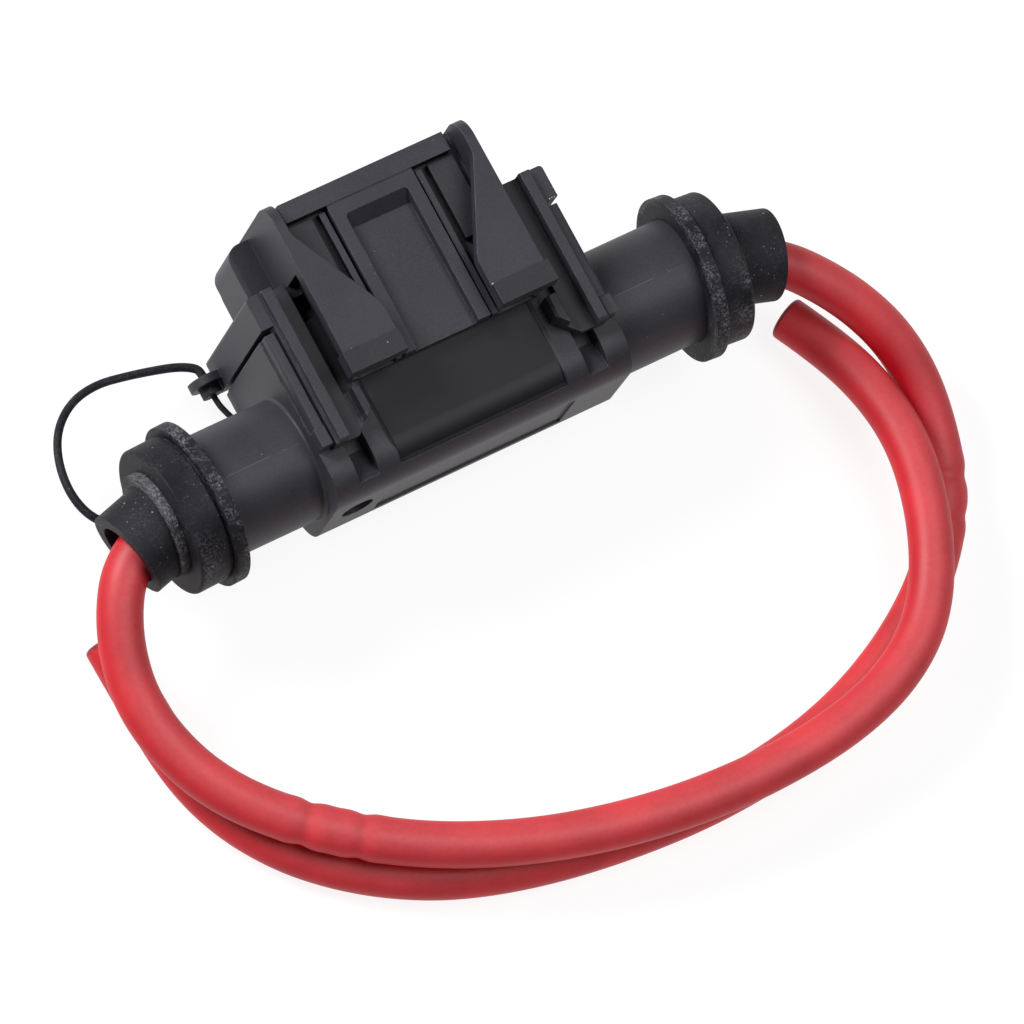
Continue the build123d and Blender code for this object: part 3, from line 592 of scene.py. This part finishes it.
def routeLine(name, settings):
    # the route's points are the control points of one NURBS spline; its sampled line comes back as an array
    curve = bpy.data.curves.new(name + "Line", "CURVE")
    curve.dimensions = "3D"
    places = np.array(settings["route"]) + sideways
    spline = curve.splines.new("NURBS")
    spline.points.add(len(places) - 1)
    spline.points.foreach_set("co", np.column_stack([places, np.ones(len(places))]).ravel())
    spline.order_u = 3
    spline.use_endpoint_u = True
    curve.resolution_u = settings["resolution"]
    spline.resolution_u = settings["resolution"]
    item = bpy.data.objects.new(name + "Line", curve)
    bpy.context.scene.collection.objects.link(item)
    bpy.context.view_layer.update()
    mesh = bpy.data.meshes.new_from_object(item)
    line = np.empty(len(mesh.vertices) * 3)
    mesh.vertices.foreach_get("co", line)
    bpy.data.meshes.remove(mesh)
    bpy.data.objects.remove(item)
    bpy.data.curves.remove(curve)
    return line.reshape(-1, 3)


def carriedFrames(line):
    # tangents, and side vectors carried along the line with the least twist
    tangent = np.gradient(line, axis=0)
    tangent /= np.linalg.norm(tangent, axis=1)[:, None]
    side = np.empty_like(line)
    first = np.cross(tangent[0], (0.0, 0.0, 1.0))
    side[0] = first / np.linalg.norm(first)
    for i in range(1, len(line)):
        carried = side[i - 1] - tangent[i] * (side[i - 1] @ tangent[i])
        side[i] = carried / np.linalg.norm(carried)
    return tangent, side, np.cross(tangent, side)


def closedGrid(name, rings, runs):
    # rings x around x 3 points, closed round each ring, with a fan point at each end;
    # the UV map "run" holds each ring's run in U and the share round it in V
    rows, around, _ = rings.shape
    points = np.vstack([rings.reshape(-1, 3), rings[0].mean(axis=0), rings[-1].mean(axis=0)])
    r, c = np.meshgrid(np.arange(rows - 1), np.arange(around), indexing="ij")
    nextC = (c + 1) % around
    quads = np.stack([r * around + c, r * around + nextC, (r + 1) * around + nextC, (r + 1) * around + c], -1)
    c = np.arange(around)
    nextC = (c + 1) % around
    startPoint = rows * around
    endPoint = startPoint + 1
    last = (rows - 1) * around
    startFan = np.column_stack([nextC, c, np.full(around, startPoint)])
    endFan = np.column_stack([last + c, last + nextC, np.full(around, endPoint)])
    faces = quads.reshape(-1, 4).tolist() + startFan.tolist() + endFan.tolist()
    mesh = bpy.data.meshes.new(name)
    mesh.from_pydata(points.tolist(), [], faces)
    mesh.polygons.foreach_set("use_smooth", np.ones(len(mesh.polygons), dtype=bool))
    layer = mesh.uv_layers.new(name="run")
    corner = np.empty(len(mesh.loops), dtype=int)
    mesh.loops.foreach_get("vertex_index", corner)
    runOf = np.append(np.repeat(runs, around), [runs[0], runs[-1]])
    layer.data.foreach_set("uv", np.column_stack([runOf[corner], (corner % around) / around]).ravel())
    item = bpy.data.objects.new(name, mesh)
    bpy.context.scene.collection.objects.link(item)
    return item


def roundTube(name, line, settings, surface):
    # a circle carried along the line, its radius dipped at each pinch, closed with a rounded far end
    radius = settings["radius"]
    around = settings["around"]
    rounding = settings["rounding"]
    tangent, side, other = carriedFrames(line)
    run = np.r_[0.0, np.cumsum(np.linalg.norm(np.diff(line, axis=0), axis=1))]
    size = radius + sum(np.sin(run * rate + phase) * height for rate, phase, height in surface["swells"])
    for point, depth, width in settings["pinches"]:
        at = run[np.argmin(np.linalg.norm(line - (np.array(point) + sideways), axis=1))]
        beside = np.abs(run - at) - surface["bulgeAt"] * width
        size -= depth * np.exp(-((run - at) / width) ** 2)
        size += depth * surface["bulge"] * np.exp(-(beside / width) ** 2)
    angle = np.linspace(0.0, 2 * np.pi, around, endpoint=False)
    circle = np.cos(angle)[None, :, None] * side[:, None, :]
    circle = circle + np.sin(angle)[None, :, None] * other[:, None, :]
    rings = line[:, None, :] + size[:, None, None] * circle
    keep = run < run[-1] - rounding
    stop = line[-1] - tangent[-1] * rounding
    ends = []
    for turn in np.linspace(surface["roundingFrom"], np.pi / 2, surface["roundingSteps"]):
        ends.append(stop + tangent[-1] * rounding * np.sin(turn)
                    + (size[-1] - rounding * (1 - np.cos(turn))) * circle[-1])
    for share in surface["capShares"]:
        ends.append(line[-1] - tangent[-1] * surface["capDish"] * (1 - share)
                    + share * (size[-1] - rounding) * circle[-1])
    rings = np.concatenate([rings[keep], np.array(ends)])
    runs = np.r_[run[keep], np.full(len(ends), run[-1] + surface["capRun"])]
    return closedGrid(name, rings, runs), run[-1]


redInsulation = {
    "red": (0.66, 0.014, 0.024, 1), "deep": (0.52, 0.006, 0.016, 1), "cut": (0.17, 0.002, 0.008, 1),
    "bloom": (0.60, 0.10, 0.11, 1), "sheenAndDust": (0.72, 0.40, 0.40, 1),
    "roughness": 0.42, "cloudRoughness": 0.10, "cutGloss": 0.10, "specular": 0.28,
    "cloud": (90.0, 3.0, 0.55), "cloudStep": (0.3, 0.7), "cloudHeight": 1.5,
    "fine": (1500.0, 3.0, 0.6), "bump": 0.25, "fineHeight": 0.00004,
    "dust": (700.0, 0.05, 0.10), "dustShare": 0.35,
    "cutFade": 0.0002, "cutShare": 0.85, "cutGrain": (700.0, 3.0, 0.5), "cutHeight": 6.0,
    "upStep": (0.40, 1.0), "sheenAndDustShare": 0.10, "sheenAndDustGrain": 0.10,
    "scuff": (520.0, 4.0, 0.7), "scuffStep": (0.56, 0.66), "scuffShare": 0.5,
}


def makeInsulation(name, settings, length):
    recipe = Recipe(name)
    place = recipe.place()
    run = recipe.along(recipe.add("ShaderNodeUVMap", {"uv_map": "run"}, {}, "UV"), "X")
    cloud = recipe.noise(place, *settings["cloud"])
    fine = recipe.noise(place, *settings["fine"])
    colour = recipe.mix(cloud.step(*settings["cloudStep"]), settings["deep"], settings["red"])
    dust = recipe.specks(place, *settings["dust"])
    colour = recipe.mix(dust * settings["dustShare"], colour, settings["bloom"])
    cut = run.step(length, length + settings["cutFade"])
    colour = recipe.mix(cut * settings["cutShare"], colour, settings["cut"])
    # painted sheen and dust: what faces up is painted paler, partly dust settled on top and partly the broad
    # sheen of the light from above
    up = recipe.along(recipe.add("ShaderNodeNewGeometry", {}, {}, "Normal"), "Z").step(*settings["upStep"])
    sheenAndDust = up * (settings["sheenAndDustShare"] + fine * settings["sheenAndDustGrain"])
    colour = recipe.mix(sheenAndDust, colour, settings["sheenAndDust"])
    scuff = cut * recipe.noise(place, *settings["scuff"]).step(*settings["scuffStep"])
    colour = recipe.mix(scuff * settings["scuffShare"], colour, settings["bloom"])
    rough = settings["roughness"] + cloud * settings["cloudRoughness"] - cut * settings["cutGloss"]
    cutGrain = cut * recipe.noise(place, *settings["cutGrain"])
    height = fine + cloud * settings["cloudHeight"] + cutGrain * settings["cutHeight"]
    sockets = {"Strength": settings["bump"], "Distance": settings["fineHeight"], "Height": height}
    bump = recipe.add("ShaderNodeBump", {}, sockets)
    recipe.set(colour=colour, roughness=rough, normal=bump, specular=settings["specular"])
    return recipe.material


def makeLead(name, node, settings):
    line = routeLine(name, settings)
    lead, length = roundTube(name, line, settings, tubeSurface)
    lead.data.materials.append(makeInsulation(name + "Red", redInsulation, length))
    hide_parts(node)
    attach(lead, "holder")
    print(name, "length", round(length, 4))


def makeTether(settings):
    line = routeLine("tetherCord", settings)
    cord, length = roundTube("tetherCord", line, settings, tubeSurface)
    cord.data.materials.append(tetherRubber)
    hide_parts("tether")
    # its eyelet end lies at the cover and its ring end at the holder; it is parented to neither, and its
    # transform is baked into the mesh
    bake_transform(cord)
    print("tether length", round(length, 4))


def makeTail(settings):
    tail, length = roundTube("knobTail", routeLine("knobTail", settings), settings, tubeSurface)
    tail.data.materials.append(tetherRubber)
    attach(tail, "cover_body")
    print("knob tail length", round(length, 4))


makeLead("leadLeft", "lead_left", leftLead)
makeLead("leadRight", "lead_right", rightLead)
makeTether(tetherCord)
makeTail(knobTail)
